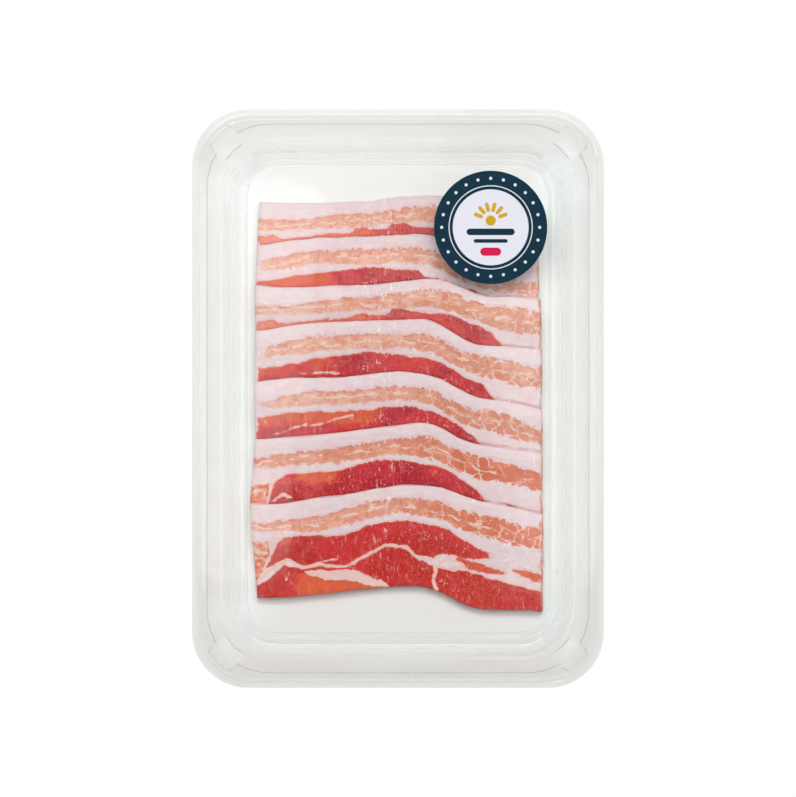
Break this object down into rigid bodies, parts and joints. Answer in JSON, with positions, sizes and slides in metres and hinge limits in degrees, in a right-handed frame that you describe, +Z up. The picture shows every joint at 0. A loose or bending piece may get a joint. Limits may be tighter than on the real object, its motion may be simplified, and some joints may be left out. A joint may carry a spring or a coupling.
{
  "type": "pork belly slices pack",
  "caption": "Clear rounded tray with a flange and corner lugs, sealed by a clear film with a round label, holding folded pork belly slices laid like roof tiles.",
  "frame": {"origin": "middle of the tray's floor, on the surface that the pack stands on", "axes": "+Z up, +Y towards the short end that carries the label, +X to the right when the label is read"},
  "size_m": [0.146, 0.205, 0.0207],
  "materials": {
    "tray_sheet": "clear thermoformed PET sheet, glossy",
    "pork": "raw pork belly, pink-white fat and red lean in bands, wet",
    "film": "clear taut lid film, glossy",
    "label_paper": "coated label paper, satin"
  },
  "bodies": {
    "root": {"tray": "tray_sheet", "slice_1": "pork", "slice_2": "pork", "slice_3": "pork", "slice_4": "pork", "slice_5": "pork", "slice_6": "pork", "slice_7": "pork", "lid_film": "film", "label": "label_paper"}
  },
  "joints": []
}
